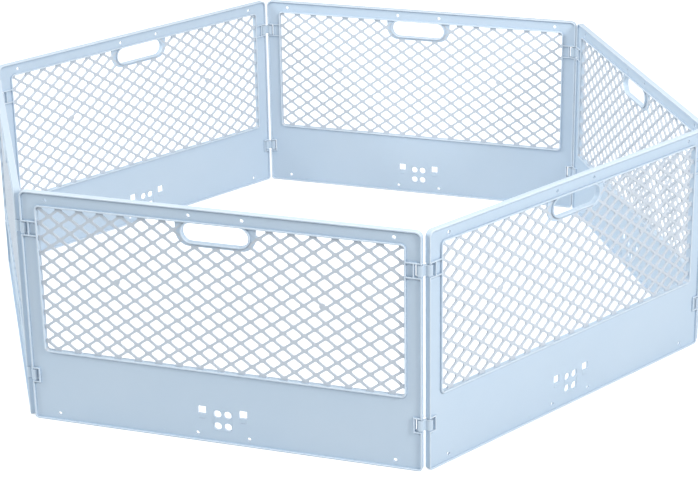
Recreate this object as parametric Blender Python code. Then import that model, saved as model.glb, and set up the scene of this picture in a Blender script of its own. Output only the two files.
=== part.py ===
# Folding chick pen: six identical moulded panels in a ring, with push-fit hinge clips at the corners.
# Sizes are in metres. Each panel is drawn upright: x along its width, y through its depth with the
# outside of the pen at -y, z up from the ground. The mould's features repeat on both faces.
import math

import bmesh
import bpy
from mathutils import Matrix

# Ring of panels
PANEL_NAMES = ("front", "right_front", "right_back", "back", "left_back", "left_front")
CORNER_NAMES = ("front_right", "right", "back_right", "back_left", "left", "front_left")
CORNER_TURN = math.radians(360 / len(PANEL_NAMES))

# Panel outline and walls
PANEL_WIDTH = 0.600
PANEL_HEIGHT = 0.364
PANEL_DEPTH = 0.010
CORNER_RADIUS = 0.010
RIM_WALL = 0.0025
WEB_THICKNESS = 0.003

# Window that the lattice fills, with a raised lip round it
STILE_WIDTH = 0.0255
TOP_RAIL_HEIGHT = 0.0227
KICK_PLATE_HEIGHT = 0.1142
WINDOW_RADIUS = 0.005
LIP_WALL = 0.0025

# Diamond lattice: two flights of ridged strands, back to back, that end in the lip
LATTICE_PITCH_X = 0.032
LATTICE_PITCH_Z = 0.02336
STRAND_WIDTH = 0.0036
STRAND_THICKNESS = 0.0015
STRAND_CLEARANCE = 0.0003
STRAND_ROOT = 0.0012
SHORTEST_STRAND = 0.012

# Hand slot at the top of the window, with its own lip and a flat pad round it
HANDLE_WIDTH = 0.100
HANDLE_HEIGHT = 0.029
HANDLE_LIP_WALL = 0.0025
HANDLE_PAD_MARGIN = 0.007
PAD_COVER = 0.00015

# Edge bars that the clips push onto, each in a slot between two ribs
BAR_DIAMETER = 0.006
SLOT_DEPTH = 0.0075
RIB_THICKNESS = 0.002
CLIP_HEIGHT = 0.016
CLIP_END_CLEARANCE = 0.002
UPPER_CLIP_HEIGHT = 0.3064
LOWER_CLIP_HEIGHT = 0.0715

# Hinge clip: two open lobes on a short bridge, and the gap that it leaves between two panels' ends
BAR_SPACING = 0.013
PANEL_END_GAP = 0.0019378
LOBE_CLEARANCE = 0.0004
LOBE_WALL = 0.0021
BRIDGE_THICKNESS = 0.0042
MOUTH_WIDTH = 0.0046

# Holes along the top and bottom rails
RAIL_HOLE_DIAMETER = 0.0055
RAIL_HOLE_FROM_CENTRE = 0.040
RAIL_HOLE_FROM_END = 0.040
TOP_HOLE_DROP = 0.0125
BOTTOM_HOLE_RISE = 0.0115

# Group of holes in the middle of the kick plate
SQUARE_HOLE_SIDE = 0.012
SQUARE_HOLE_FROM_CENTRE = 0.0318
SQUARE_HOLE_RISE = 0.0496
ROUND_HOLE_DIAMETER = 0.0116
ROUND_HOLE_FROM_CENTRE = 0.0079
ROUND_HOLE_RISES = (0.0263, 0.0456)

# Facets of round shapes, how round the slot's ends are, and how far a cutter runs past what it cuts
RIM_SEGMENTS = 3
WINDOW_SEGMENTS = 2
HANDLE_SEGMENTS = 4
PAD_SEGMENTS = 2
BAR_SIDES = 8
LOBE_SIDES = 10
SMALL_HOLE_SIDES = 6
ROUND_HOLE_SIDES = 8
ROUND_END = 0.98
OVERRUN = 0.001

# Places that follow from the sizes above
WINDOW_WIDTH = PANEL_WIDTH - 2 * STILE_WIDTH
WINDOW_HEIGHT = PANEL_HEIGHT - TOP_RAIL_HEIGHT - KICK_PLATE_HEIGHT
WINDOW_TOP = PANEL_HEIGHT - TOP_RAIL_HEIGHT
WINDOW_MIDDLE = KICK_PLATE_HEIGHT + WINDOW_HEIGHT / 2
BAR_INSET = (
    (BAR_SPACING - PANEL_END_GAP - PANEL_DEPTH * math.sin(CORNER_TURN / 2)) / 2 / math.cos(CORNER_TURN / 2)
)
BAR_PLACE = PANEL_WIDTH / 2 - BAR_INSET
BAR_SPAN = 2 * BAR_PLACE
SLOT_HEIGHT = CLIP_HEIGHT + 2 * CLIP_END_CLEARANCE
LOBE_BORE = BAR_DIAMETER / 2 + LOBE_CLEARANCE
LATTICE_THICKNESS = 2 * STRAND_THICKNESS + STRAND_CLEARANCE


def clear_scene():
    for old in list(bpy.data.objects):
        bpy.data.objects.remove(old, do_unlink=True)


def new_collection(name):
    made = bpy.data.collections.new(name)
    bpy.context.scene.collection.children.link(made)
    return made


def plastic(name, colour, roughness):
    material = bpy.data.materials.new(name)
    material.use_nodes = True
    shader = material.node_tree.nodes["Principled BSDF"]
    shader.inputs["Base Color"].default_value = (*colour, 1.0)
    shader.inputs["Roughness"].default_value = roughness
    shader.inputs["Metallic"].default_value = 0.0
    return material


def add_box(shape, low, high):
    """A box between two corners."""
    size = [b - a for a, b in zip(low, high)]
    middle = [(a + b) / 2 for a, b in zip(low, high)]
    bmesh.ops.create_cube(shape, size=1.0, matrix=Matrix.Translation(middle) @ Matrix.Diagonal((*size, 1.0)))


def add_round_bar(shape, radius, sides, centre, length, axis="Z"):
    turn = Matrix.Rotation(math.pi / 2, 4, "X") if axis == "Y" else Matrix.Identity(4)
    bmesh.ops.create_cone(
        shape, cap_ends=True, segments=sides, radius1=radius, radius2=radius, depth=length,
        matrix=Matrix.Translation(centre) @ turn,
    )


def add_rounded_plate(shape, width, height, depth, middle_z, radius, segments, round_top=True):
    """An upright plate whose corners, or only the lower two, are rounded as seen from the front."""
    plate = bmesh.new()
    half = (width / 2, depth / 2, height / 2)
    add_box(plate, (-half[0], -half[1], middle_z - half[2]), (half[0], half[1], middle_z + half[2]))
    through = [e for e in plate.edges if abs(e.verts[0].co.y - e.verts[1].co.y) > half[1]]
    rounded = [e for e in through if round_top or e.verts[0].co.z < middle_z]
    bmesh.ops.bevel(plate, geom=rounded, offset=radius, segments=segments, profile=0.5, affect="EDGES")
    mesh = bpy.data.meshes.new("plate")
    plate.to_mesh(mesh)
    plate.free()
    shape.from_mesh(mesh)
    bpy.data.meshes.remove(mesh)


def guide(name, fill):
    """A construction solid: it shapes the panel or the clip and isn't a piece of the pen."""
    shape = bmesh.new()
    fill(shape)
    mesh = bpy.data.meshes.new(name)
    shape.to_mesh(mesh)
    shape.free()
    made = bpy.data.objects.new(name, mesh)
    made.hide_render = True
    made.display_type = "WIRE"
    guides.objects.link(made)
    return made


def combine(target, tool, operation):
    step = target.modifiers.new(f"{operation.lower()}_{tool.name}", "BOOLEAN")
    step.operation = operation
    step.object = tool
    step.solver = "EXACT"


def finished_mesh(master, name, material):
    """The master's shape with its modifiers applied, as one mesh that every copy shares."""
    bpy.context.view_layer.update()
    seen = master.evaluated_get(bpy.context.evaluated_depsgraph_get())
    mesh = bpy.data.meshes.new_from_object(seen)
    mesh.name = name
    shape = bmesh.new()
    shape.from_mesh(mesh)
    bmesh.ops.remove_doubles(shape, verts=shape.verts, dist=0.00001)
    bmesh.ops.dissolve_limit(shape, angle_limit=math.radians(0.5), verts=shape.verts, edges=shape.edges)
    shape.to_mesh(mesh)
    shape.free()
    mesh.shade_smooth()
    mesh.set_sharp_from_angle(angle=math.radians(40))
    mesh.materials.clear()
    mesh.materials.append(material)
    return mesh


# Parts of the moulded panel

def web(shape):
    add_rounded_plate(
        shape, PANEL_WIDTH - RIM_WALL, PANEL_HEIGHT - RIM_WALL, WEB_THICKNESS, PANEL_HEIGHT / 2,
        CORNER_RADIUS - RIM_WALL / 2, RIM_SEGMENTS,
    )


def rim_block(shape):
    add_rounded_plate(
        shape, PANEL_WIDTH, PANEL_HEIGHT, PANEL_DEPTH, PANEL_HEIGHT / 2, CORNER_RADIUS, RIM_SEGMENTS,
    )


def rim_inside(shape):
    add_rounded_plate(
        shape, PANEL_WIDTH - 2 * RIM_WALL, PANEL_HEIGHT - 2 * RIM_WALL, PANEL_DEPTH + OVERRUN,
        PANEL_HEIGHT / 2, CORNER_RADIUS - RIM_WALL, RIM_SEGMENTS,
    )


def lip_block(shape):
    add_rounded_plate(
        shape, WINDOW_WIDTH + 2 * LIP_WALL, WINDOW_HEIGHT + 2 * LIP_WALL, PANEL_DEPTH, WINDOW_MIDDLE,
        WINDOW_RADIUS + LIP_WALL, WINDOW_SEGMENTS,
    )


def window(shape):
    add_rounded_plate(
        shape, WINDOW_WIDTH, WINDOW_HEIGHT, PANEL_DEPTH + OVERRUN, WINDOW_MIDDLE, WINDOW_RADIUS,
        WINDOW_SEGMENTS,
    )


def hinge_sites():
    """Side of the panel and height of each of its four clips."""
    return [(side, height) for side in (-1, 1) for height in (LOWER_CLIP_HEIGHT, UPPER_CLIP_HEIGHT)]


def hinge_ribs(shape):
    """Two level ribs and one upright round each slot. The upper pair runs on to the window's lip."""
    half = PANEL_DEPTH / 2
    upright = BAR_PLACE - SLOT_DEPTH - RIB_THICKNESS
    for side, height in hinge_sites():
        reaches_lip = KICK_PLATE_HEIGHT < height < WINDOW_TOP
        start = PANEL_WIDTH / 2 - STILE_WIDTH + LIP_WALL / 2 if reaches_lip else upright
        for step in (-1, 1):
            inner = SLOT_HEIGHT / 2
            edges = sorted((height + step * inner, height + step * (inner + RIB_THICKNESS)))
            ends = sorted((side * start, side * (PANEL_WIDTH / 2 - RIM_WALL / 2)))
            add_box(shape, (ends[0], -half, edges[0]), (ends[1], half, edges[1]))


def hinge_uprights(shape):
    half = PANEL_DEPTH / 2
    upright = BAR_PLACE - SLOT_DEPTH - RIB_THICKNESS
    reach = (SLOT_HEIGHT + RIB_THICKNESS) / 2
    for side, height in hinge_sites():
        ends = sorted((side * upright, side * (upright + RIB_THICKNESS)))
        add_box(shape, (ends[0], -half, height - reach), (ends[1], half, height + reach))


def hinge_slots(shape):
    half = PANEL_DEPTH / 2 + OVERRUN
    for side, height in hinge_sites():
        ends = sorted((side * (BAR_PLACE - SLOT_DEPTH), side * (PANEL_WIDTH / 2 + OVERRUN)))
        add_box(shape, (ends[0], -half, height - SLOT_HEIGHT / 2), (ends[1], half, height + SLOT_HEIGHT / 2))


def edge_bars(shape):
    for side, height in hinge_sites():
        add_round_bar(
            shape, BAR_DIAMETER / 2, BAR_SIDES, (side * BAR_PLACE, 0, height), SLOT_HEIGHT + RIB_THICKNESS,
        )


def strands(shape, lean):
    """One flight of parallel strands, each a ridge with its flat back towards the other flight."""
    slope = math.atan2(LATTICE_PITCH_Z, LATTICE_PITCH_X)
    rows = int((WINDOW_HEIGHT - STRAND_WIDTH) / (LATTICE_PITCH_Z / 2))
    top_row = rows * LATTICE_PITCH_Z / 4
    count = math.ceil((WINDOW_WIDTH + WINDOW_HEIGHT / math.tan(slope)) / LATTICE_PITCH_X)
    length = math.hypot(WINDOW_WIDTH, WINDOW_HEIGHT) * 1.1
    back = STRAND_CLEARANCE / 2 + STRAND_THICKNESS / 3
    ridge = (
        Matrix.Rotation(math.pi / 2 - lean * slope, 4, "Y")
        @ Matrix.Rotation(math.pi * (1 + lean) / 2, 4, "Z")
        @ Matrix.Diagonal((STRAND_WIDTH / math.sqrt(3), STRAND_THICKNESS / 1.5, 1.0, 1.0))
    )
    for number in range(-count, count):
        at_top = (number + 0.5) * LATTICE_PITCH_X
        crossing = at_top - lean * top_row / math.tan(slope)
        if strand_length(crossing, slope) < SHORTEST_STRAND:
            continue
        place = Matrix.Translation((crossing, -lean * back, WINDOW_MIDDLE))
        bmesh.ops.create_cone(
            shape, cap_ends=True, segments=3, radius1=1.0, radius2=1.0, depth=length, matrix=place @ ridge,
        )


def strand_length(crossing, slope):
    """Length inside the window of a strand that crosses its middle height at this x."""
    run = WINDOW_HEIGHT / 2 / math.tan(slope)
    low = max(-WINDOW_WIDTH / 2, crossing - run)
    high = min(WINDOW_WIDTH / 2, crossing + run)
    return (high - low) / math.cos(slope)


def strand_bounds(shape):
    """The window with a margin: strands are trimmed to it, so that their roots sit inside the lip."""
    add_rounded_plate(
        shape, WINDOW_WIDTH + 2 * STRAND_ROOT, WINDOW_HEIGHT + 2 * STRAND_ROOT, PANEL_DEPTH, WINDOW_MIDDLE,
        WINDOW_RADIUS + STRAND_ROOT, WINDOW_SEGMENTS,
    )


def handle_plate(shape, margin, depth):
    """A long round-ended plate round the hand slot, whose top edge lines up with the window's."""
    height = HANDLE_HEIGHT + 2 * margin
    add_rounded_plate(
        shape, HANDLE_WIDTH + 2 * margin, height, depth, WINDOW_TOP - HANDLE_HEIGHT / 2,
        height / 2 * ROUND_END, HANDLE_SEGMENTS,
    )


def handle_pad(shape):
    """Flat pad below and beside the hand slot, up to the top of the window. It covers the strands' ends."""
    bottom = WINDOW_TOP - HANDLE_HEIGHT - HANDLE_PAD_MARGIN
    top = WINDOW_TOP + STRAND_ROOT
    add_rounded_plate(
        shape, HANDLE_WIDTH + 2 * HANDLE_PAD_MARGIN, top - bottom, LATTICE_THICKNESS + 2 * PAD_COVER,
        (top + bottom) / 2, HANDLE_HEIGHT / 2 + HANDLE_PAD_MARGIN, PAD_SEGMENTS, round_top=False,
    )


def rail_holes(shape):
    across = (RAIL_HOLE_FROM_CENTRE, PANEL_WIDTH / 2 - RAIL_HOLE_FROM_END)
    for height in (BOTTOM_HOLE_RISE, PANEL_HEIGHT - TOP_HOLE_DROP):
        for x in (-across[1], -across[0], across[0], across[1]):
            add_round_bar(
                shape, RAIL_HOLE_DIAMETER / 2, SMALL_HOLE_SIDES, (x, 0, height), PANEL_DEPTH, axis="Y",
            )


def kick_plate_holes(shape):
    half = SQUARE_HOLE_SIDE / 2
    for side in (-1, 1):
        x = side * SQUARE_HOLE_FROM_CENTRE
        add_box(
            shape, (x - half, -PANEL_DEPTH / 2, SQUARE_HOLE_RISE - half),
            (x + half, PANEL_DEPTH / 2, SQUARE_HOLE_RISE + half),
        )
        for height in ROUND_HOLE_RISES:
            add_round_bar(
                shape, ROUND_HOLE_DIAMETER / 2, ROUND_HOLE_SIDES, (side * ROUND_HOLE_FROM_CENTRE, 0, height),
                PANEL_DEPTH, axis="Y",
            )


def make_panel_mesh(material):
    """One moulding: rim, web, lipped window, lattice, hand slot, hinge bars and holes."""
    rim = guide("rim", rim_block)
    combine(rim, guide("rim_inside", rim_inside), "DIFFERENCE")
    panel = guide("panel_master", web)
    combine(panel, rim, "UNION")
    combine(panel, guide("window_lip", lip_block), "UNION")
    combine(panel, guide("hinge_ribs", hinge_ribs), "UNION")
    combine(panel, guide("hinge_uprights", hinge_uprights), "UNION")
    combine(panel, guide("window", window), "DIFFERENCE")
    bounds = guide("strand_bounds", strand_bounds)
    for name, lean in (("strands_rising", 1), ("strands_falling", -1)):
        flight = guide(name, lambda shape, lean=lean: strands(shape, lean))
        combine(flight, bounds, "INTERSECT")
        combine(panel, flight, "UNION")
    combine(panel, guide("handle_pad", handle_pad), "UNION")
    lip = guide("handle_lip", lambda shape: handle_plate(shape, HANDLE_LIP_WALL, PANEL_DEPTH))
    combine(panel, lip, "UNION")
    slot = guide("hand_slot", lambda shape: handle_plate(shape, 0.0, PANEL_DEPTH + OVERRUN))
    combine(panel, slot, "DIFFERENCE")
    combine(panel, guide("hinge_slots", hinge_slots), "DIFFERENCE")
    combine(panel, guide("edge_bars", edge_bars), "UNION")
    combine(panel, guide("rail_holes", rail_holes), "DIFFERENCE")
    combine(panel, guide("kick_plate_holes", kick_plate_holes), "DIFFERENCE")
    return finished_mesh(panel, "panel", material)


# Parts of the hinge clip, drawn lying along x with its bridge in the middle

def lobes(shape):
    for side in (-1, 1):
        add_round_bar(shape, LOBE_BORE + LOBE_WALL, LOBE_SIDES, (side * BAR_SPACING / 2, 0, 0), CLIP_HEIGHT)


def bridge(shape):
    reach = BAR_SPACING / 2
    half = BRIDGE_THICKNESS / 2
    add_box(shape, (-reach, -half, -CLIP_HEIGHT / 2), (reach, half, CLIP_HEIGHT / 2))


def bores(shape):
    radius = LOBE_BORE / math.cos(math.pi / LOBE_SIDES)
    for side in (-1, 1):
        add_round_bar(shape, radius, LOBE_SIDES, (side * BAR_SPACING / 2, 0, 0), CLIP_HEIGHT + 2 * OVERRUN)


def mouths(shape):
    """Each lobe opens away from the bridge, so a panel's bar goes in when the clip is pressed on."""
    half = MOUTH_WIDTH / 2
    tip = BAR_SPACING / 2 + LOBE_BORE + LOBE_WALL + OVERRUN
    top = CLIP_HEIGHT / 2 + OVERRUN
    for side in (-1, 1):
        ends = sorted((side * BAR_SPACING / 2, side * tip))
        add_box(shape, (ends[0], -half, -top), (ends[1], half, top))


def make_clip_mesh(material):
    clip = guide("clip_master", lobes)
    combine(clip, guide("clip_bridge", bridge), "UNION")
    combine(clip, guide("clip_bores", bores), "DIFFERENCE")
    combine(clip, guide("clip_mouths", mouths), "DIFFERENCE")
    return finished_mesh(clip, "clip", material)


# Placing: every moving piece hangs from an empty that stands on its hinge axis

def add_axis(name, parent, x, turn):
    axis = bpy.data.objects.new(name, None)
    axis.empty_display_size = 0.02
    axis.parent = parent
    axis.location = (x, 0, 0)
    axis.rotation_euler = (0, 0, turn)
    pen.objects.link(axis)
    return axis


def add_piece(name, mesh, parent, x, z):
    piece = bpy.data.objects.new(name, mesh)
    piece.parent = parent
    piece.location = (x, 0, z)
    pen.objects.link(piece)
    return piece


def add_clips(corner, parent, x):
    for level, height in (("upper", UPPER_CLIP_HEIGHT), ("lower", LOWER_CLIP_HEIGHT)):
        add_piece(f"clip_{level}_{corner}", clip_mesh, parent, x, height)


def assemble():
    """Works outwards from the front panel: three panels to the right, then two to the left.

    At each corner the clip turns half of the corner's angle from one panel, and the next panel
    turns the other half from the clip. The last clip on the right holds the last panel on the left.
    """
    half_turn = CORNER_TURN / 2
    distance = BAR_SPACING + BAR_SPAN * math.cos(CORNER_TURN / 2)
    centre = bpy.data.objects.new("pen_centre", None)
    pen.objects.link(centre)
    first = add_axis("axis_panel_front", centre, 0, 0)
    first.location = (0, -distance, 0)
    add_piece("panel_front", panel_mesh, first, 0, 0)
    for way, steps in ((1, 3), (-1, 2)):
        parent, reach = first, BAR_SPAN / 2
        for step in range(1, steps + 1):
            panel = PANEL_NAMES[way * step]
            corner = CORNER_NAMES[step - 1 if way > 0 else -step]
            hinge = add_axis(f"axis_clip_{corner}", parent, way * reach, way * half_turn)
            add_clips(corner, hinge, way * BAR_SPACING / 2)
            parent = add_axis(f"axis_panel_{panel}", hinge, way * BAR_SPACING, way * half_turn)
            add_piece(f"panel_{panel}", panel_mesh, parent, way * BAR_SPAN / 2, 0)
            reach = BAR_SPAN
        if way > 0:
            closing = add_axis(f"axis_clip_{CORNER_NAMES[steps]}", parent, BAR_SPAN, half_turn)
            add_clips(CORNER_NAMES[steps], closing, BAR_SPACING / 2)


clear_scene()
pen = new_collection("chick_pen")
guides = new_collection("construction")
panel_plastic = plastic("pale_blue_plastic", (0.50, 0.62, 0.76), 0.42)
clip_plastic = plastic("clip_plastic", (0.47, 0.58, 0.72), 0.38)
panel_mesh = make_panel_mesh(panel_plastic)
clip_mesh = make_clip_mesh(clip_plastic)
assemble()
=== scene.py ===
import math

import bmesh
import bpy
import numpy as np
from mathutils import Matrix, Vector


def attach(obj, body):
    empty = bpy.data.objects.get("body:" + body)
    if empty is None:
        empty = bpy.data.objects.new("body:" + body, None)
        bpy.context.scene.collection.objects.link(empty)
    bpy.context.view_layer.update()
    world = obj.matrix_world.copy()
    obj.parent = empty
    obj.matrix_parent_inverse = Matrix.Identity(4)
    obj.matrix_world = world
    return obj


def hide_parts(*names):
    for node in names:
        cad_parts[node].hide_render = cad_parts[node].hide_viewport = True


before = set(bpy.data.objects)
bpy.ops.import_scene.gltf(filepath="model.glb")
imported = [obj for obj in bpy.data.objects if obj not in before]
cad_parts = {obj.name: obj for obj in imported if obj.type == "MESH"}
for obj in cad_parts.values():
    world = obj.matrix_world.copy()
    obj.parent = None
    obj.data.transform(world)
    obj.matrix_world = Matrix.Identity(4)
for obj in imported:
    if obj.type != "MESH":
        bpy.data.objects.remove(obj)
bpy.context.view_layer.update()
print("frame loaded,", len(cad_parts), "nodes")

# the pen is six equal panels in a ring, held by clips at the corners
ring = {
    "panels": ["front", "right_front", "right_back", "back", "left_back", "left_front"],
    "corners": ["front_right", "right", "back_right", "back_left", "left", "front_left"],
    "turn": math.radians(60),
    "barSpacing": 0.013,
    "barInset": 0.0035,
}


# meshes from outlines

shading = {
    "sharpAngle": math.radians(50),
    "faceWeight": 50,
    "roundedLean": (0.15, 0.97),  # how far a rounded face's normal leans along the thickness
    "outsideLean": -0.2,
}


def roundedLoop(corners, steps):
    # corners are (u, v, radius), anticlockwise; a radius of 0 leaves the corner sharp
    loop = []
    for i, (u, v, radius) in enumerate(corners):
        here = Vector((u, v))
        if radius <= 0:
            loop.append(here)
            continue
        back = (Vector(corners[i - 1][:2]) - here).normalized()
        ahead = (Vector(corners[(i + 1) % len(corners)][:2]) - here).normalized()
        half = math.acos(back.dot(ahead)) / 2
        centre = here + (back + ahead).normalized() * (radius / math.sin(half))
        start = here + back * (radius / math.tan(half)) - centre
        end = here + ahead * (radius / math.tan(half)) - centre
        sweep = math.atan2(start.x * end.y - start.y * end.x, start.dot(end))
        for k in range(steps + 1):
            loop.append(centre + Matrix.Rotation(sweep * k / steps, 2) @ start)
    return loop


def roundedRectangle(width, height, middle, radii, steps):
    u, v = width / 2, height / 2
    x, z = middle
    lower, upper = radii
    corners = [(x - u, z - v, lower), (x + u, z - v, lower), (x + u, z + v, upper), (x - u, z + v, upper)]
    return roundedLoop(corners, steps)


def circle(x, z, radius, sides):
    points = []
    for k in range(sides):
        angle = 2 * math.pi * k / sides
        points.append(Vector((x + radius * math.cos(angle), z + radius * math.sin(angle))))
    return points


def box(left, right, low, high):
    return [Vector(p) for p in ((left, low), (right, low), (right, high), (left, high))]


def grown(loop, distance):
    # moves an anticlockwise outline outwards, with mitred corners that stay short where it turns sharply
    sharpest = 0.3
    out = []
    for i, here in enumerate(loop):
        before = (here - loop[i - 1]).normalized()
        after = (loop[(i + 1) % len(loop)] - here).normalized()
        a = Vector((before.y, -before.x))
        b = Vector((after.y, -after.x))
        out.append(here + (a + b) * (distance / max(sharpest, 1 + a.dot(b))))
    return out


def slab(name, outline, holes, low, high, edge, steps=2, upright=True):
    # a plate of this outline with rounded edges; upright ones are thick along y, others along z
    shape = bmesh.new()
    levels = [(0, low), (0, high)]
    if edge > 0:
        levels = []
        for k in range(steps + 1):
            angle = math.pi / 2 * k / steps
            levels.append((edge * (math.sin(angle) - 1), low + edge * (1 - math.cos(angle))))
        levels += [(grow, low + high - height) for grow, height in reversed(levels)]
    caps = ([], [])
    for sign, loop in [(1, outline)] + [(-1, hole) for hole in holes]:
        rows = []
        for grow, height in levels:
            points = grown(loop, sign * grow) if grow else loop
            places = [(p.x, height, p.y) if upright else (p.x, p.y, height) for p in points]
            rows.append([shape.verts.new(place) for place in places])
        for below, above in zip(rows, rows[1:]):
            for i in range(len(loop)):
                j = (i + 1) % len(loop)
                shape.faces.new((below[i], below[j], above[j], above[i]))
        for cap, row in zip(caps, (rows[0], rows[-1])):
            cap += [shape.edges.get((row[i], row[(i + 1) % len(row)])) for i in range(len(row))]
    for cap in caps:
        bmesh.ops.triangle_fill(shape, use_beauty=True, edges=cap)
    bmesh.ops.recalc_face_normals(shape, faces=shape.faces)
    return newObject(name, shape)


def newObject(name, shape):
    mesh = bpy.data.meshes.new(name)
    shape.to_mesh(mesh)
    shape.free()
    made = bpy.data.objects.new(name, mesh)
    bpy.context.scene.collection.objects.link(made)
    return made


def evaluatedMesh(thing, name):
    bpy.context.view_layer.update()
    seen = thing.evaluated_get(bpy.context.evaluated_depsgraph_get())
    mesh = bpy.data.meshes.new_from_object(seen)
    mesh.name = name
    return mesh


def welded(name, shells):
    # one closed skin from overlapping shells
    for other in shells[1:]:
        weld = shells[0].modifiers.new("weld", "BOOLEAN")
        weld.operation = "UNION"
        weld.solver = "MANIFOLD"
        weld.object = other
    mesh = evaluatedMesh(shells[0], name)
    for shell in shells:
        bpy.data.objects.remove(shell, do_unlink=True)
    return mesh


def smoothed(mesh):
    # even shading on the flats, crisp where the faces meet at a sharp angle
    for polygon in mesh.polygons:
        polygon.use_smooth = True
    mesh.set_sharp_from_angle(angle=shading["sharpAngle"])
    holder = bpy.data.objects.new("holder", mesh)
    bpy.context.scene.collection.objects.link(holder)
    weights = holder.modifiers.new("weights", "WEIGHTED_NORMAL")
    weights.keep_sharp = True
    weights.weight = shading["faceWeight"]
    done = evaluatedMesh(holder, mesh.name)
    bpy.data.objects.remove(holder, do_unlink=True)
    return done


def markFaces(mesh, axis, isStrand=None, insideShadeShare=1.0):
    # the material reads from these where rounded edges are paler (partly wear, partly painted highlight),
    # where the lattice strands get their painted shade, and how much painted shade in creases a side gets
    low, high = shading["roundedLean"]
    marksOfFaces = {"wearAndHighlight": [], "strand": [], "paintedShade": []}
    for polygon in mesh.polygons:
        lean = polygon.normal[axis]
        thin = isStrand is not None and isStrand(polygon.center)
        marksOfFaces["wearAndHighlight"].append(float(low < abs(lean) < high and not thin))
        marksOfFaces["strand"].append(float(thin))
        # a side's share of the painted shade in creases, weaker on the inside
        marksOfFaces["paintedShade"].append(1.0 if lean < shading["outsideLean"] else insideShadeShare)
    for label, values in marksOfFaces.items():
        mesh.attributes.new(label, "FLOAT", "FACE").data.foreach_set("value", values)


# diamond lattice, made by a tree that cuts rounded openings from a plate

lattice = {
    "pitchX": 0.032,
    "pitchZ": 0.02336,
    "strandWidth": 0.0038,
    "thickness": 0.0033,
    "cornerRadius": 0.0026,
    "cornerSteps": 3,
    "root": 0.0012,  # how far the lattice runs into the lip
    "edgeRound": 0.0004,
    "cutterExcess": 0.25,  # how far a cutter stands out at each end, in thicknesses of the lattice
    "mergeReach": 0.00001,
    "gatePads": [(-0.1555, 0.2355), (0.1555, 0.2355)],
    "gatePadRadius": 0.0048,
    "gatePadSides": 20,
}


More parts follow.
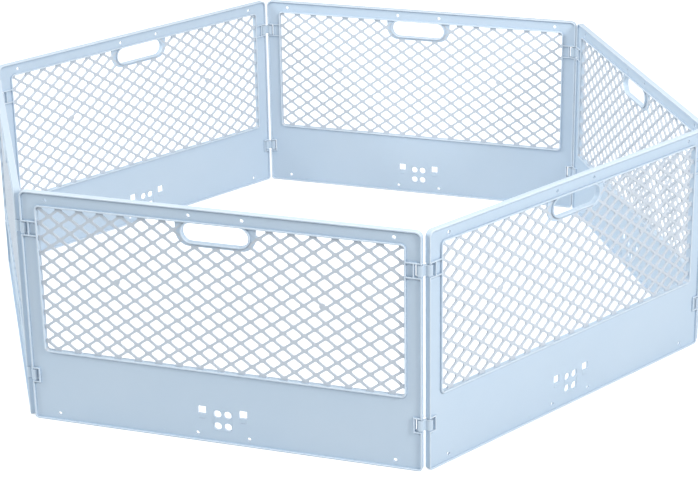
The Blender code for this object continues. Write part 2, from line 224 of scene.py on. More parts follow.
def latticeTree():
    tree = bpy.data.node_groups.new("diamondLattice", "GeometryNodeTree")
    tree.interface.new_socket("Geometry", in_out="OUTPUT", socket_type="NodeSocketGeometry")
    lengths = [
        "Plate Width", "Plate Height", "Thickness", "Pitch X", "Pitch Z", "Opening Width", "Opening Height",
        "Opening Reach", "Corner Radius", "Edge Round",
    ]
    for label in lengths:
        tree.interface.new_socket(label, in_out="INPUT", socket_type="NodeSocketFloat")
    for label in ("Columns", "Rows"):
        tree.interface.new_socket(label, in_out="INPUT", socket_type="NodeSocketInt")
    tree.interface.new_socket("Material", in_out="INPUT", socket_type="NodeSocketMaterial")
    source = tree.nodes.new("NodeGroupInput")
    link = tree.links.new

    def add(kind, **settings):
        node = tree.nodes.new(kind)
        for key, value in settings.items():
            setattr(node, key, value)
        return node

    def maths(operation, a, b):
        node = add("ShaderNodeMath", operation=operation)
        for socket, value in zip(node.inputs, (a, b)):
            if isinstance(value, (int, float)):
                socket.default_value = value
            else:
                link(value, socket)
        return node.outputs[0]

    get = source.outputs
    # one opening's cutter: a diamond with rounded corners, closed and flared at both ends
    diamond = add("GeometryNodeCurvePrimitiveQuadrilateral", mode="KITE")
    half = maths("DIVIDE", get["Opening Height"], 2)
    link(get["Opening Width"], diamond.inputs["Width"])
    link(half, diamond.inputs["Bottom Height"])
    link(half, diamond.inputs["Top Height"])
    fillet = add("GeometryNodeFilletCurve", mode="POLY")
    fillet.inputs["Count"].default_value = lattice["cornerSteps"]
    link(diamond.outputs["Curve"], fillet.inputs["Curve"])
    link(get["Corner Radius"], fillet.inputs["Radius"])
    face = add("GeometryNodeFillCurve", mode="NGONS")
    link(fillet.outputs["Curve"], face.inputs["Curve"])
    over = maths("MULTIPLY", get["Thickness"], lattice["cutterExcess"])
    depth = maths("MULTIPLY", get["Thickness"], 1 + 2 * lattice["cutterExcess"])
    flare = maths("ADD", get["Edge Round"], over)
    waist = maths("SUBTRACT", depth, maths("MULTIPLY", flare, 2))
    wider = maths("ADD", 1, maths("DIVIDE", flare, get["Opening Reach"]))
    base = face.outputs["Mesh"]
    top = None
    for length, factor in ((flare, None), (waist, None), (flare, wider)):
        extrude = add("GeometryNodeExtrudeMesh", mode="FACES")
        link(base, extrude.inputs["Mesh"])
        if top is not None:
            link(top, extrude.inputs["Selection"])
        link(length, extrude.inputs["Offset Scale"])
        base = extrude.outputs["Mesh"]
        top = extrude.outputs["Top"]
        if factor is not None:
            grow = add("GeometryNodeScaleElements", domain="FACE")
            link(base, grow.inputs["Geometry"])
            link(top, grow.inputs["Selection"])
            link(factor, grow.inputs["Scale"])
            base = grow.outputs["Geometry"]
    flip = add("GeometryNodeFlipFaces")
    link(face.outputs["Mesh"], flip.inputs["Mesh"])
    both = add("GeometryNodeJoinGeometry")
    link(base, both.inputs["Geometry"])
    link(flip.outputs["Mesh"], both.inputs["Geometry"])
    closed = add("GeometryNodeMergeByDistance")
    closed.inputs["Distance"].default_value = lattice["mergeReach"]
    link(both.outputs["Geometry"], closed.inputs["Geometry"])
    # the first end is flared once it is closed: its face looks down
    normal = add("GeometryNodeInputNormal")
    parts = add("ShaderNodeSeparateXYZ")
    link(normal.outputs["Normal"], parts.inputs["Vector"])
    below = add("FunctionNodeCompare", operation="LESS_THAN")
    link(parts.outputs["Z"], below.inputs["A"])
    below.inputs["B"].default_value = -0.9
    grow = add("GeometryNodeScaleElements", domain="FACE")
    link(closed.outputs["Geometry"], grow.inputs["Geometry"])
    link(below.outputs["Result"], grow.inputs["Selection"])
    link(wider, grow.inputs["Scale"])
    middle = add("GeometryNodeTransform")
    sink = add("ShaderNodeCombineXYZ")
    link(maths("MULTIPLY", depth, -0.5), sink.inputs["Z"])
    link(grow.outputs["Geometry"], middle.inputs["Geometry"])
    link(sink.outputs["Vector"], middle.inputs["Translation"])
    # two grids of openings, half a pitch apart
    cutters = add("GeometryNodeJoinGeometry")
    for extra, way in ((0, -0.25), (-1, 0.25)):
        columns = maths("ADD", get["Columns"], extra)
        grid = add("GeometryNodeMeshGrid")
        link(columns, grid.inputs["Vertices X"])
        link(get["Rows"], grid.inputs["Vertices Y"])
        stepsAcross = maths("SUBTRACT", columns, 1)
        stepsUp = maths("SUBTRACT", get["Rows"], 1)
        link(maths("MULTIPLY", stepsAcross, get["Pitch X"]), grid.inputs["Size X"])
        link(maths("MULTIPLY", stepsUp, get["Pitch Z"]), grid.inputs["Size Y"])
        lift = add("ShaderNodeCombineXYZ")
        link(maths("MULTIPLY", get["Pitch Z"], way), lift.inputs["Y"])
        moved = add("GeometryNodeTransform")
        link(grid.outputs["Mesh"], moved.inputs["Geometry"])
        link(lift.outputs["Vector"], moved.inputs["Translation"])
        copies = add("GeometryNodeInstanceOnPoints")
        link(moved.outputs["Geometry"], copies.inputs["Points"])
        link(middle.outputs["Geometry"], copies.inputs["Instance"])
        link(copies.outputs["Instances"], cutters.inputs["Geometry"])
    solid = add("GeometryNodeRealizeInstances")
    link(cutters.outputs["Geometry"], solid.inputs["Geometry"])
    size = add("ShaderNodeCombineXYZ")
    for axis, label in (("X", "Plate Width"), ("Y", "Plate Height"), ("Z", "Thickness")):
        link(get[label], size.inputs[axis])
    plate = add("GeometryNodeMeshCube")
    link(size.outputs["Vector"], plate.inputs["Size"])
    cut = add("GeometryNodeMeshBoolean", operation="DIFFERENCE", solver="MANIFOLD")
    link(plate.outputs["Mesh"], cut.inputs["Mesh 1"])
    link(solid.outputs["Geometry"], cut.inputs["Mesh 2"])
    stand = add("GeometryNodeTransform")
    stand.inputs["Rotation"].default_value = (math.pi / 2, 0, 0)
    link(cut.outputs["Mesh"], stand.inputs["Geometry"])
    realize = add("GeometryNodeRealizeInstances")
    link(stand.outputs["Geometry"], realize.inputs["Geometry"])
    finish = add("GeometryNodeSetMaterial")
    link(realize.outputs["Geometry"], finish.inputs["Geometry"])
    link(get["Material"], finish.inputs["Material"])
    output = add("NodeGroupOutput")
    link(finish.outputs["Geometry"], output.inputs["Geometry"])
    return tree


def makeLattice(material):
    slope = math.atan2(lattice["pitchZ"], lattice["pitchX"])
    across = lattice["pitchX"] - lattice["strandWidth"] / math.sin(slope)
    width, height = windowSize()
    values = {
        "Plate Width": width + 2 * lattice["root"],
        "Plate Height": height + 2 * lattice["root"],
        "Thickness": lattice["thickness"],
        "Pitch X": lattice["pitchX"],
        "Pitch Z": lattice["pitchZ"],
        "Opening Width": across,
        "Opening Height": lattice["pitchZ"] - lattice["strandWidth"] / math.cos(slope),
        "Opening Reach": across / 2 * math.sin(slope),
        "Corner Radius": lattice["cornerRadius"],
        "Edge Round": lattice["edgeRound"],
        "Columns": int(width / lattice["pitchX"]) + 1,
        "Rows": int(height / lattice["pitchZ"]) + 1,
        "Material": material,
    }
    holder = newObject("lattice", bmesh.new())
    maker = holder.modifiers.new("lattice", "NODES")
    maker.node_group = latticeTree()
    for item in maker.node_group.interface.items_tree:
        if item.in_out == "INPUT":
            maker[item.identifier] = values[item.name]
    # the hand slot is cut from the lattice, and its own lip covers the cut
    cutter = slab("slot", slotLoop(handSlot["wall"] / 2), [], -panel["depth"], panel["depth"], 0)
    cutter.location.z = -windowMiddle()
    cut = holder.modifiers.new("slot", "BOOLEAN")
    cut.operation = "DIFFERENCE"
    cut.solver = "MANIFOLD"
    cut.object = cutter
    mesh = evaluatedMesh(holder, "lattice")
    bpy.data.objects.remove(holder, do_unlink=True)
    bpy.data.objects.remove(cutter, do_unlink=True)
    mesh.transform(Matrix.Translation((0, 0, windowMiddle())))
    mesh.materials.clear()
    made = bpy.data.objects.new("lattice", mesh)
    bpy.context.scene.collection.objects.link(made)
    return made


# the moulded panel: x along its width, outside at -y, z up from the ground

panel = {
    "width": 0.600,
    "height": 0.364,
    "depth": 0.010,
    "topRadius": 0.010,
    "footRadius": 0.005,
    "rimWall": 0.0025,
    "web": 0.003,
    "stile": 0.0255,
    "topRail": 0.0227,
    "kickPlate": 0.1142,
    "windowRadius": 0.005,
    "lipWall": 0.0025,
    "edgeRound": 0.0010,
    "holeRound": 0.0003,
    "hidden": 0.0010,  # how far one moulded part runs into the next
    "paintedShadeInside": 0.4,  # as a share of the painted shade outside
    "cornerSteps": 8,
    "windowSteps": 5,
}

handSlot = {
    "width": 0.100,
    "height": 0.029,
    "wall": 0.0025,
    "edgeRound": 0.0011,
    "edgeSteps": 4,
    "endShare": 0.4999,  # the radius of its ends as a share of its height
    "endSteps": 14,
    "padMargin": 0.007,
    "padEnd": 0.0104,
    "padSteps": 10,
}

hinge = {
    "heights": (0.0715, 0.3064),
    "slotHeight": 0.020,
    "slotDepth": 0.0075,
    "rib": 0.002,
    "barDiameter": 0.006,
    "barSides": 32,
    "edgeRound": 0.0008,
}

holes = {
    "railDiameter": 0.0055,
    "railFromCentre": 0.040,
    "railFromEnd": 0.040,
    "railSides": 20,
    "topDrop": 0.0125,
    "bottomRise": 0.0115,
    "squareSide": 0.012,
    "squareRadius": 0.0006,
    "squareFromCentre": 0.0318,
    "squareRise": 0.0496,
    "roundDiameter": 0.0116,
    "roundFromCentre": 0.0079,
    "roundRises": (0.0263, 0.0456),
    "roundSides": 28,
}

# low marks that the mould leaves on the web: a frame round the four holes, a tab under each square hole
# with a ledge at its foot, and the stub of the gate near the bottom edge
marks = {
    "frameSize": (0.0290, 0.0335),
    "frameMiddle": 0.0360,
    "frameWidth": 0.0009,
    "frameRadii": (0.0024, 0.0015),
    "frameRise": 0.00045,
    "tabSize": (0.0100, 0.0062),
    "tabDrop": 0.0031,
    "tabRadius": 0.0004,
    "tabRise": 0.0003,
    "ledgeHeight": 0.0011,
    "ledgeRise": 0.0008,
    "gateSpot": (-0.092, 0.0095),
    "gateRadius": 0.0012,
    "gateSides": 14,
    "gateRise": 0.0006,
    "edgeRound": 0.00015,
}


def windowSize():
    return panel["width"] - 2 * panel["stile"], panel["height"] - panel["topRail"] - panel["kickPlate"]


def windowMiddle():
    return panel["kickPlate"] + windowSize()[1] / 2


def windowLoop(margin):
    width, height = windowSize()
    radius = panel["windowRadius"] + margin
    width, height = width + 2 * margin, height + 2 * margin
    return roundedRectangle(width, height, (0, windowMiddle()), (radius, radius), panel["windowSteps"])


def slotLoop(margin):
    width, height = handSlot["width"] + 2 * margin, handSlot["height"] + 2 * margin
    middle = (0, panel["height"] - panel["topRail"] - handSlot["height"] / 2)
    radius = height * handSlot["endShare"]
    return roundedRectangle(width, height, middle, (radius, radius), handSlot["endSteps"])


def webHoles():
    found = []
    across = (holes["railFromCentre"], panel["width"] / 2 - holes["railFromEnd"])
    for height in (holes["bottomRise"], panel["height"] - holes["topDrop"]):
        for x in (-across[1], -across[0], across[0], across[1]):
            found.append(circle(x, height, holes["railDiameter"] / 2, holes["railSides"]))
    square, radius = holes["squareSide"], holes["squareRadius"]
    for side in (-1, 1):
        middle = (side * holes["squareFromCentre"], holes["squareRise"])
        found.append(roundedRectangle(square, square, middle, (radius, radius), 3))
        x = side * holes["roundFromCentre"]
        for rise in holes["roundRises"]:
            found.append(circle(x, rise, holes["roundDiameter"] / 2, holes["roundSides"]))
    return found


def notchedOutline(inset, notchGrow):
    # the panel's outline seen from outside, with a notch for each hinge slot
    x = panel["width"] / 2 - inset
    low, high = inset, panel["height"] - inset
    deep = panel["width"] / 2 - ring["barInset"] - hinge["slotDepth"] - notchGrow
    half = hinge["slotHeight"] / 2 + notchGrow
    right = [(x, low, max(0, panel["footRadius"] - inset))]
    for height in hinge["heights"]:
        below, above = height - half, height + half
        right += [(x, below, 0), (deep, below, 0), (deep, above, 0), (x, above, 0)]
    right.append((x, high, max(0, panel["topRadius"] - inset)))
    left = [(-u, v, radius) for u, v, radius in reversed(right)]
    return roundedLoop(right + left, panel["cornerSteps"])


def mouldMarks():
    shells = []

    def rise(name, outline, inner, height):
        low, high = -panel["web"] / 2 - height, panel["web"] / 2 + height
        shells.append(slab(name, outline, inner, low, high, marks["edgeRound"], 1))

    width, height = marks["frameSize"]
    middle = (0, marks["frameMiddle"])
    thin = 2 * marks["frameWidth"]
    outer, inner = marks["frameRadii"]
    inside = roundedRectangle(width - thin, height - thin, middle, (inner, inner), 3)
    rise("frame", roundedRectangle(width, height, middle, (outer, outer), 3), [inside], marks["frameRise"])
    width, height = marks["tabSize"]
    radii = (marks["tabRadius"], marks["tabRadius"])
    tabMiddle = holes["squareRise"] - holes["squareSide"] / 2 - marks["tabDrop"]
    tabLow = tabMiddle - height / 2
    for side in (-1, 1):
        x = side * holes["squareFromCentre"]
        rise("tab", roundedRectangle(width, height, (x, tabMiddle), radii, 2), [], marks["tabRise"])
        ledge = roundedRectangle(width, marks["ledgeHeight"], (x, tabLow), radii, 2)
        rise("ledge", ledge, [], marks["ledgeRise"])
    rise("gate", circle(*marks["gateSpot"], marks["gateRadius"], marks["gateSides"]), [], marks["gateRise"])
    return shells


def rimStrips():
    # the rim in four lengths, which end inside the ribs beside the hinge slots
    wall = panel["rimWall"]
    x, top = panel["width"] / 2, panel["height"]
    innerX, innerTop = x - wall, top - wall
    half = hinge["slotHeight"] / 2 + panel["hidden"] / 2
    lowSlot, highSlot = hinge["heights"]
    foot, head = panel["footRadius"], panel["topRadius"]
    archEnd, troughEnd = highSlot + half, lowSlot - half
    arch = [
        (x, archEnd, 0), (x, top, head), (-x, top, head), (-x, archEnd, 0),
        (-innerX, archEnd, 0), (-innerX, innerTop, head - wall), (innerX, innerTop, head - wall),
        (innerX, archEnd, 0),
    ]
    trough = [
        (-x, troughEnd, 0), (-x, 0, foot), (x, 0, foot), (x, troughEnd, 0),
        (innerX, troughEnd, 0), (innerX, wall, foot - wall), (-innerX, wall, foot - wall),
        (-innerX, troughEnd, 0),
    ]
    strips = [roundedLoop(arch, panel["cornerSteps"]), roundedLoop(trough, panel["cornerSteps"])]
    for side in (-1, 1):
        a, b = sorted((side * x, side * innerX))
        strips.append(box(a, b, lowSlot + half, highSlot - half))
    return strips


def hingeRibs():
    # level ribs above and below each slot, and an upright at its end; the upper ones run on to the lip
    shells = []
    outer = panel["width"] / 2
    deep = outer - ring["barInset"] - hinge["slotDepth"]
    lipEdge = outer - panel["stile"] + panel["lipWall"] / 2
    low, high = -panel["depth"] / 2, panel["depth"] / 2
    for side in (-1, 1):
        for height in hinge["heights"]:
            start = lipEdge if height > panel["kickPlate"] else deep - hinge["rib"]
            half = hinge["slotHeight"] / 2
            boxes = [
                (start, outer, height + half, height + half + hinge["rib"]),
                (start, outer, height - half - hinge["rib"], height - half),
                (deep - hinge["rib"], deep, height - half - hinge["rib"], height + half + hinge["rib"]),
            ]
            for a, b, foot, head in boxes:
                a, b = sorted((side * a, side * b))
                shells.append(slab("rib", box(a, b, foot, head), [], low, high, hinge["edgeRound"], 3))
    return shells


def hingeBars():
    shells = []
    reach = hinge["slotHeight"] / 2 + hinge["rib"] / 2
    around = circle(0, 0, hinge["barDiameter"] / 2, hinge["barSides"])
    for side in (-1, 1):
        x = side * (panel["width"] / 2 - ring["barInset"])
        loop = [Vector((x + p.x, p.y)) for p in around]
        for height in hinge["heights"]:
            shells.append(slab("bar", loop, [], height - reach, height + reach, 0, upright=False))
    return shells


def inLattice(spot):
    # inside the lip, and clear of the plate round the hand slot
    width, height = windowSize()
    clear = lattice["edgeRound"]
    if abs(spot.x) > width / 2 - clear or abs(spot.z - windowMiddle()) > height / 2 - clear:
        return False
    low = panel["height"] - panel["topRail"] - handSlot["height"] - handSlot["padMargin"] - clear
    return abs(spot.x) > handSlot["width"] / 2 + handSlot["padEnd"] + clear or spot.z < low


def makePanelMesh(material):
    front, back = -panel["depth"] / 2, panel["depth"] / 2
    webFront, webBack = -panel["web"] / 2, panel["web"] / 2
    hidden, edge = panel["hidden"], panel["edgeRound"]
    openings = [windowLoop(hidden)] + webHoles()
    shells = [slab("web", notchedOutline(hidden, hidden), openings, webFront, webBack, panel["holeRound"])]
    for strip in rimStrips():
        shells.append(slab("rim", strip, [], front, back, edge, 3))
    shells.append(slab("lip", windowLoop(panel["lipWall"]), [windowLoop(0)], front, back, edge, 3))
    shells += mouldMarks()
    shells += hingeRibs()
    shells += hingeBars()
    shells.append(makeLattice(material))
    for x, z in lattice["gatePads"]:
        spot = circle(x, z, lattice["gatePadRadius"], lattice["gatePadSides"])
        shells.append(slab("gatePad", spot, [], webFront, webBack, panel["holeRound"]))
    # the plate that carries the hand slot, and the lip round the slot
    margin, wall = handSlot["padMargin"], handSlot["wall"]
    windowTop = panel["height"] - panel["topRail"]
    padLow = windowTop - handSlot["height"] - margin
    padHigh = windowTop + lattice["root"]
    pad = roundedRectangle(
        handSlot["width"] + 2 * handSlot["padEnd"], padHigh - padLow, (0, (padLow + padHigh) / 2),
        (handSlot["height"] / 2 + margin, 0), handSlot["padSteps"],
    )
    shells.append(slab("pad", pad, [slotLoop(wall / 2)], webFront, webBack, panel["holeRound"]))
    edge, steps = handSlot["edgeRound"], handSlot["edgeSteps"]
    shells.append(slab("slotLip", slotLoop(wall), [slotLoop(0)], front, back, edge, steps))
    mesh = smoothed(welded("finePanel", shells))
    markFaces(mesh, 1, inLattice, panel["paintedShadeInside"])
    mesh.materials.clear()
    mesh.materials.append(material)
    return mesh


# the hinge clip: two open lobes on a short bridge, seen from above with the bridge along x

clip = {
    "height": 0.016,
    "bore": 0.0034,
    "wall": 0.00206,
    "bridge": 0.0042,
    "mouth": 0.0046,
    "edgeRound": 0.0004,
    "lipTurn": 0.16,  # how far a lip's outer corner is set back, in radians
    "lipSteps": 4,
    "outerSteps": 24,
    "borePoints": 42,
}


def clipLoop():
    # anticlockwise from the right lobe's upper lip, over the bridge, round the left lobe and back below
    bore, outer = clip["bore"], clip["bore"] + clip["wall"]
    reach = ring["barSpacing"] / 2
    inner = math.asin(clip["mouth"] / 2 / bore)
    lip = math.asin((clip["mouth"] / 2) / outer) + clip["lipTurn"]
    bridgeAngle = math.pi - math.asin(clip["bridge"] / 2 / outer)
    upper = []
    steps = clip["lipSteps"]
    for k in range(steps):
        angle = inner + (lip - inner) * math.sin(math.pi / 2 * k / steps) ** 2
        radius = bore + clip["wall"] * (k / steps)
        upper.append((reach + radius * math.cos(angle), radius * math.sin(angle)))
    steps = clip["outerSteps"]
    for k in range(steps + 1):
        angle = lip + (bridgeAngle - lip) * k / steps
        upper.append((reach + outer * math.cos(angle), outer * math.sin(angle)))
    upperLeft = [(-x, y) for x, y in reversed(upper)]
    boreAngles = np.linspace(inner, 2 * math.pi - inner, clip["borePoints"])[1:-1]
    leftBore = [(-reach - bore * math.cos(angle), bore * math.sin(angle)) for angle in boreAngles]
    lowerLeft = [(x, -y) for x, y in reversed(upperLeft)]
    lowerRight = [(-x, y) for x, y in reversed(lowerLeft)]
    rightBore = [(-x, -y) for x, y in leftBore]
    return [Vector(p) for p in upper + upperLeft + leftBore + lowerLeft + lowerRight + rightBore]


def makeClipMesh(material):
    half = clip["height"] / 2
    made = slab("clip", clipLoop(), [], -half, half, clip["edgeRound"], 3, upright=False)
    mesh = smoothed(evaluatedMesh(made, "fineClip"))
    markFaces(mesh, 2)
    bpy.data.objects.remove(made, do_unlink=True)
    mesh.materials.append(material)
    return mesh


# moulded plastic: a satin skin with a fine grain and faint flow marks; rounded edges paler, partly from
# wear and partly a painted highlight; painted shade in creases and under ledges, and on the lattice strands

plastics = {
    "panel_plastic": {
        "colour": (0.606, 0.716, 0.832),
        # the colour of the rounded edges, partly worn and partly a painted highlight
        "paler": (0.79, 0.86, 0.93),
        "cooler": (0.586, 0.702, 0.824),
        # painted shade: the strands are drawn a darker, greyer tone than the web
        "strandShadeColour": (0.630, 0.680, 0.745),
        # painted shade in creases and under ledges: its colour and how far it reaches
        "paintedShadeColour": (0.33, 0.37, 0.42),
        "paintedShadeReach": 0.005,
        "roughness": 0.46,
        "grainScale": 1500,
        "grainDepth": 0.10,
        "waveScale": 7,
    },
    "clip_plastic": {
        "colour": (0.618, 0.722, 0.828),
        # the colour of the rounded edges, partly worn and partly a painted highlight
        "paler": (0.80, 0.865, 0.925),
        "cooler": (0.595, 0.705, 0.82),
        "strandShadeColour": (0.618, 0.722, 0.828),
        # painted shade in creases and under ledges: its colour and how far it reaches
        "paintedShadeColour": (0.42, 0.45, 0.50),
        "paintedShadeReach": 0.004,
        "roughness": 0.38,
        "grainScale": 1900,
        "grainDepth": 0.06,
        "waveScale": 25,
    },
}

# what both plastics share; scales here are multiples of the plastic's waveScale
skin = {
    "refraction": 1.49,
    "cloudRange": (0.35, 0.65),
    # paler rounded edges, partly wear and partly a painted highlight
    "rubAndHighlightScale": 9,
    "rubAndHighlightRange": (0.3, 0.7),
    "rubAndHighlightShare": (0.45, 0.9),
    # painted shade in creases and under ledges: samples, upward tilt and range, then how it fades near the
    # ground
    "paintedShadeSamples": 8,
    "paintedShadeTilt": (0, 0, 0.8),
    "paintedShadeRange": (0.38, 0.72),
    "footRange": (0.008, 0.030),
    "footShare": 0.25,
    "patchScale": 3,
    "patchRange": (0.3, 0.7),
    "patchGloss": (-0.05, 0.07),
    "grainHeight": 0.0002,
    "rippleScale": 4,
    "rippleDepth": 0.12,
    "rippleHeight": 0.0006,
}


def makePlastic(name):
    look = plastics[name]
    material = bpy.data.materials.new(name)
    material.use_nodes = True
    nodes, links = material.node_tree.nodes, material.node_tree.links
    shader = nodes["Principled BSDF"]
    shader.inputs["IOR"].default_value = skin["refraction"]
    place = nodes.new("ShaderNodeTexCoord").outputs["Object"]

    def noise(scale, detail, roughness=0.5):
        node = nodes.new("ShaderNodeTexNoise")
        node.inputs["Scale"].default_value = scale
        node.inputs["Detail"].default_value = detail
        node.inputs["Roughness"].default_value = roughness
        links.new(place, node.inputs["Vector"])
        return node.outputs["Fac"]

    def spread(value, source, target=(0, 1)):
        node = nodes.new("ShaderNodeMapRange")
        for label, number in zip(("From Min", "From Max", "To Min", "To Max"), (*source, *target)):
            node.inputs[label].default_value = number
        links.new(value, node.inputs["Value"])
        return node.outputs["Result"]

    def fromFaces(label):
        node = nodes.new("ShaderNodeAttribute")
        node.attribute_name = label
        return node.outputs["Fac"]

    def product(a, b):
        node = nodes.new("ShaderNodeMath")
        node.operation = "MULTIPLY"
        links.new(a, node.inputs[0])
        links.new(b, node.inputs[1])
        return node.outputs[0]

    def mixed(factor, a, b, blend="MIX"):
        node = nodes.new("ShaderNodeMix")
        node.data_type = "RGBA"
        node.blend_type = blend
        links.new(factor, node.inputs["Factor"])
        for socket, value in ((node.inputs[6], a), (node.inputs[7], b)):
            if isinstance(value, tuple):
                socket.default_value = (*value, 1)
            else:
                links.new(value, socket)
        return node.outputs[2]

    def bump(height, depth, distance):
        node = nodes.new("ShaderNodeBump")
        node.inputs["Strength"].default_value = depth
        node.inputs["Distance"].default_value = distance
        links.new(height, node.inputs["Height"])
        return node

    wave = look["waveScale"]
    cloud = spread(noise(wave, 4, 0.6), skin["cloudRange"])
    body = mixed(cloud, look["colour"], look["cooler"])
    # painted shade: the lattice strands are drawn a darker, greyer tone than the web
    body = mixed(fromFaces("strand"), body, look["strandShadeColour"])
    # rounded edges are paler: partly rubbed wear, partly a painted highlight
    rubAndHighlight = spread(noise(wave * skin["rubAndHighlightScale"], 3), skin["rubAndHighlightRange"], skin["rubAndHighlightShare"])
    body = mixed(product(fromFaces("wearAndHighlight"), rubAndHighlight), body, look["paler"])
    # painted shade in creases and under ledges: ambient occlusion darkens the colour, and its sampled side
    # is tilted upwards so the darkening falls below what stands out from the web, like a shadow from above
    tilt = nodes.new("ShaderNodeVectorMath")
    tilt.operation = "ADD"
    tilt.inputs[1].default_value = skin["paintedShadeTilt"]
    links.new(nodes.new("ShaderNodeNewGeometry").outputs["Normal"], tilt.inputs[0])
    even = nodes.new("ShaderNodeVectorMath")
    even.operation = "NORMALIZE"
    links.new(tilt.outputs["Vector"], even.inputs[0])
    corner = nodes.new("ShaderNodeAmbientOcclusion")
    corner.only_local = True
    corner.samples = skin["paintedShadeSamples"]
    corner.inputs["Distance"].default_value = look["paintedShadeReach"]
    links.new(even.outputs["Vector"], corner.inputs["Normal"])
    paintedShade = mixed(spread(corner.outputs["AO"], skin["paintedShadeRange"]), look["paintedShadeColour"], (1.0, 1.0, 1.0))
    # the painted shade is weaker on the inside and near the ground
    height = nodes.new("ShaderNodeSeparateXYZ")
    links.new(place, height.inputs["Vector"])
    nearGround = spread(height.outputs["Z"], skin["footRange"], (skin["footShare"], 1))
    body = mixed(product(nearGround, fromFaces("paintedShade")), body, paintedShade, "MULTIPLY")
    links.new(body, shader.inputs["Base Color"])
    smoothest, roughest = (look["roughness"] + change for change in skin["patchGloss"])
    patches = spread(noise(wave * skin["patchScale"], 5, 0.65), skin["patchRange"], (smoothest, roughest))
    links.new(patches, shader.inputs["Roughness"])
    grain = bump(noise(look["grainScale"], 3, 0.6), look["grainDepth"], skin["grainHeight"])
    ripple = bump(noise(wave * skin["rippleScale"], 2), skin["rippleDepth"], skin["rippleHeight"])
    links.new(grain.outputs["Normal"], ripple.inputs["Normal"])
    links.new(ripple.outputs["Normal"], shader.inputs["Normal"])
    return material


# placing: every piece keeps its place in its own mesh

def addPiece(name, mesh, matrix, node, body):
    own = mesh.copy()
    own.name = name
    own.transform(matrix)
    piece = bpy.data.objects.new(name, own)
    bpy.context.scene.collection.objects.link(piece)
    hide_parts(node)
    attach(piece, body)


def assemble(panelMesh, clipMesh):
    turn, spacing = ring["turn"], ring["barSpacing"]
    span = panel["width"] - 2 * ring["barInset"]
    distance = spacing + span * math.cos(turn / 2)
    for k, name in enumerate(ring["panels"]):
        matrix = Matrix.Rotation(k * turn, 4, "Z") @ Matrix.Translation((0, -distance, 0))
        addPiece("fine_panel_" + name, panelMesh, matrix, "panel_" + name, name + "_panel")
    # a clip's middle stands on the line between two corners' bars
    across = span / 2 + spacing / 2 * math.cos(turn / 2)
    middle = Vector((across, -distance + spacing / 2 * math.sin(turn / 2), 0))
    halfTurn = Matrix.Rotation(turn / 2, 4, "Z")
    for k, corner in enumerate(ring["corners"]):
        for level, height in zip(("lower", "upper"), hinge["heights"]):
            lifted = Matrix.Translation(middle + Vector((0, 0, height)))
            matrix = Matrix.Rotation(k * turn, 4, "Z") @ lifted @ halfTurn
            node = "clip_" + level + "_" + corner
            addPiece("fine_" + node, clipMesh, matrix, node, corner + "_clips")


# floor, light and camera

stage = {
    "floorSize": 14,
    "floorDrop": 0.0003,
    "floorColour": (0.86, 0.87, 0.88),
    "floorRoughness": 0.9,
    "floorShine": 0.1,
    "floorGlow": 0.62,
    "backdrop": (0.86, 0.90, 0.92),
    "fill": 0.37,
    "fillColour": (0.94, 0.975, 1.0),
    "lampsAimAt": (0, 0, 0.15),
    "lamps": [
        # name, place, size, watts, colour
        ("left", (-3.0, -1.5, 2.0), 0.8, 41, (0.82, 0.93, 1.0)),
        ("right", (2.6, -1.4, 1.7), 0.8, 43, (0.96, 0.985, 1.0)),
        ("inside", (0.2, -0.5, 1.7), 0.9, 10, (1.0, 0.93, 0.86)),
        ("insideLeft", (-2.2, -0.2, 2.2), 1.0, 15, (1.0, 0.97, 0.94)),
        ("back", (0.8, 3.0, 2.4), 1.2, 25, (0.97, 0.99, 1.0)),
    ],
}

# focal and centre are in pixels of the frame, the sensor in mm, the place in metres, angles in radians
view = {
    "sensor": 36,
    "focal": 1946.8,
    "centre": (349.0, 171.7),
    "place": (0.9497, -2.8663, 1.3535),
    "yaw": -0.3111,
    "pitch": -0.3560,
    "roll": -0.0157,
    "frame": (698, 483),
}


def makeFloor():
    shape = bmesh.new()
    bmesh.ops.create_grid(shape, x_segments=2, y_segments=2, size=stage["floorSize"] / 2)
    floor = newObject("floor", shape)
    floor.location = (0, 0, -stage["floorDrop"])
    material = bpy.data.materials.new("paleFloor")
    material.use_nodes = True
    nodes, links = material.node_tree.nodes, material.node_tree.links
    shader = nodes["Principled BSDF"]
    shader.inputs["Base Color"].default_value = (*stage["floorColour"], 1)
    shader.inputs["Roughness"].default_value = stage["floorRoughness"]
    shader.inputs["Specular IOR Level"].default_value = stage["floorShine"]
    shader.inputs["Emission Color"].default_value = (1, 1, 1, 1)
    # it glows to the camera only, and lights nothing
    ray = nodes.new("ShaderNodeLightPath")
    strength = nodes.new("ShaderNodeMath")
    strength.operation = "MULTIPLY"
    strength.inputs[1].default_value = stage["floorGlow"]
    links.new(ray.outputs["Is Camera Ray"], strength.inputs[0])
    links.new(strength.outputs[0], shader.inputs["Emission Strength"])
    floor.data.materials.append(material)


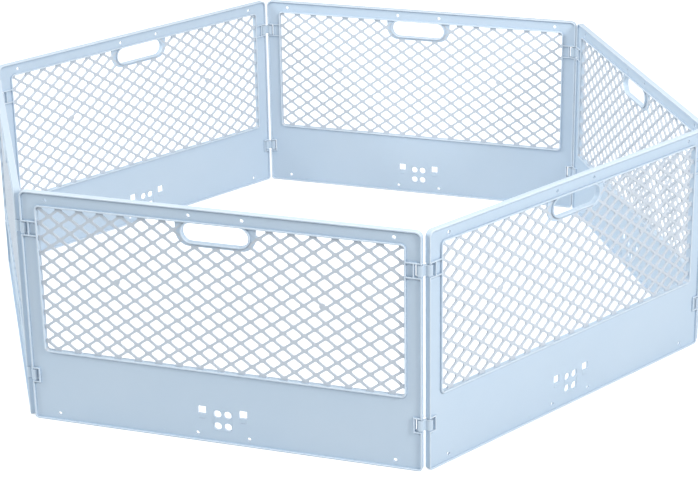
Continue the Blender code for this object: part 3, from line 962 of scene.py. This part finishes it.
def makeLight():
    # the fill lights the pen, and the paler backdrop shows behind it and in its gloss
    world = bpy.data.worlds.new("studio")
    bpy.context.scene.world = world
    world.use_nodes = True
    nodes, links = world.node_tree.nodes, world.node_tree.links
    nodes.clear()
    ray = nodes.new("ShaderNodeLightPath")
    seen = nodes.new("ShaderNodeMath")
    seen.operation = "MAXIMUM"
    links.new(ray.outputs["Is Camera Ray"], seen.inputs[0])
    links.new(ray.outputs["Is Glossy Ray"], seen.inputs[1])
    fill = nodes.new("ShaderNodeBackground")
    fill.inputs["Color"].default_value = (*stage["fillColour"], 1)
    fill.inputs["Strength"].default_value = stage["fill"]
    backdrop = nodes.new("ShaderNodeBackground")
    backdrop.inputs["Color"].default_value = (*stage["backdrop"], 1)
    mix = nodes.new("ShaderNodeMixShader")
    links.new(seen.outputs[0], mix.inputs[0])
    links.new(fill.outputs[0], mix.inputs[1])
    links.new(backdrop.outputs[0], mix.inputs[2])
    links.new(mix.outputs[0], nodes.new("ShaderNodeOutputWorld").inputs["Surface"])
    for name, place, size, watts, colour in stage["lamps"]:
        light = bpy.data.lights.new(name, "AREA")
        light.shape = "DISK"
        light.size = size
        light.energy = watts
        light.color = colour
        lamp = bpy.data.objects.new(name, light)
        lamp.location = place
        aim = Vector(stage["lampsAimAt"]) - Vector(place)
        lamp.rotation_euler = aim.to_track_quat("-Z", "Y").to_euler()
        bpy.context.scene.collection.objects.link(lamp)


def makeCamera():
    width, height = view["frame"]
    yaw, pitch, roll = view["yaw"], view["pitch"], view["roll"]
    ahead = Vector((math.sin(yaw) * math.cos(pitch), math.cos(yaw) * math.cos(pitch), math.sin(pitch)))
    level = Vector((math.cos(yaw), -math.sin(yaw), 0))
    above = level.cross(ahead)
    right = level * math.cos(roll) + above * math.sin(roll)
    up = above * math.cos(roll) - level * math.sin(roll)
    lens = bpy.data.cameras.new("camera")
    lens.sensor_width = view["sensor"]
    lens.lens = view["focal"] * view["sensor"] / width
    lens.shift_x = (width / 2 - view["centre"][0]) / width
    lens.shift_y = (view["centre"][1] - height / 2) / width
    camera = bpy.data.objects.new("camera", lens)
    turned = Matrix((right, up, -ahead)).transposed().to_4x4()
    camera.matrix_world = Matrix.Translation(view["place"]) @ turned
    bpy.context.scene.collection.objects.link(camera)
    bpy.context.scene.camera = camera


panelPlastic = makePlastic("panel_plastic")
clipPlastic = makePlastic("clip_plastic")
print("materials made")
panelMesh = makePanelMesh(panelPlastic)
print("panel made,", len(panelMesh.polygons), "faces")
clipMesh = makeClipMesh(clipPlastic)
print("clip made,", len(clipMesh.polygons), "faces")
assemble(panelMesh, clipMesh)
makeFloor()
makeLight()
makeCamera()
bpy.context.scene.view_settings.view_transform = "Standard"
print("pen, floor, light and camera in place")
